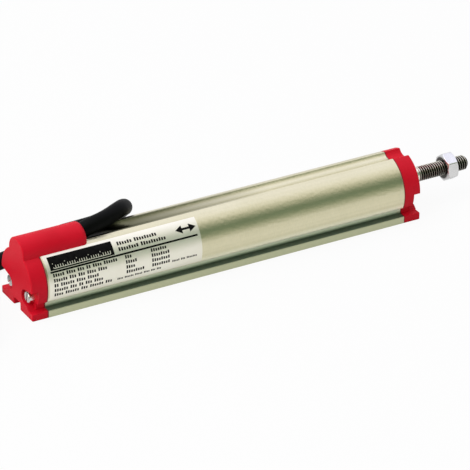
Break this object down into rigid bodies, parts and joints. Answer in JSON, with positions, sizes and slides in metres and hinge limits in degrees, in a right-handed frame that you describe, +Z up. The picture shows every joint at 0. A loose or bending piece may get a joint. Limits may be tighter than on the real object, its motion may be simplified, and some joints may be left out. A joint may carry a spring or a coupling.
{
  "type": "linear potentiometer",
  "caption": "Rod-type linear position sensor: domed metal case with moulded end caps and cable nose, and a sliding rod with threaded end and lock nut that moves a wiper along a resistive track.",
  "frame": {"origin": "middle of the length from the rear cap to the rod's tip, on the plane that the feet stand on", "axes": "+X along the rod towards its threaded end, +Y to the back, +Z up from the feet"},
  "size_m": [0.2884, 0.0787, 0.0319],
  "materials": {
    "anodised": "satin anodised, fine drawn lines",
    "cap_red": "satin moulded",
    "gasket": "matt silicone",
    "screw_steel": "bright",
    "label_film": "satin film",
    "rod_steel": "ground",
    "nut_steel": "bright",
    "bush_bronze": "plain turned",
    "seal_rubber": "matt",
    "carriage_plastic": "moulded",
    "shoe_plastic": "moulded",
    "contact_metal": "plated spring strip",
    "board_laminate": "glass-fibre laminate",
    "track_film": "conductive film",
    "collector_film": "conductive film",
    "lead_insulation": "satin",
    "cable_sheath": "satin",
    "clip_steel": "plain",
    "tie_nylon": "satin",
    "core_white": "satin",
    "core_brown": "satin",
    "core_green": "satin",
    "core_shield": "shrink sleeve",
    "ferrule_metal": "tinned"
  },
  "bodies": {
    "case": {"body_profile": "anodised", "rear_cap": "cap_red", "front_cap": "cap_red", "rear_gasket": "gasket", "front_gasket": "gasket", "rear_cap_screws": "screw_steel", "front_cap_screws": "screw_steel", "label": "label_film", "rod_bush": "bush_bronze", "rod_wiper_seal": "seal_rubber", "front_buffer": "seal_rubber", "rear_buffer": "seal_rubber", "board_terminals": "contact_metal", "track_board": "board_laminate", "resistive_track": "track_film", "collector_track": "collector_film", "lead_wires": "lead_insulation", "cable_entry": "cable_sheath", "cable": "cable_sheath", "cable_coil": "cable_sheath", "cable_tail": "cable_sheath", "cable_clip": "clip_steel", "cable_tie": "tie_nylon", "core_white": "core_white", "core_brown": "core_brown", "core_green": "core_green", "core_shield": "core_shield", "core_ferrules": "ferrule_metal"},
    "carriage": {"carriage": "carriage_plastic", "guide_shoes": "shoe_plastic", "track_contact": "contact_metal", "collector_contact": "contact_metal"},
    "rod": {"rod": "rod_steel", "rod_clip": "nut_steel", "hex_nut": "nut_steel"}
  },
  "joints": [
    {"name": "rod_slide", "type": "slide", "parent": "case", "child": "carriage", "axis": [1, 0, 0], "range_m": [0, 0.102]},
    {"name": "rod_turn", "type": "hinge", "parent": "carriage", "child": "rod", "pos_m": [0, 0, 0.0123], "axis": [1, 0, 0], "continuous": true}
  ]
}
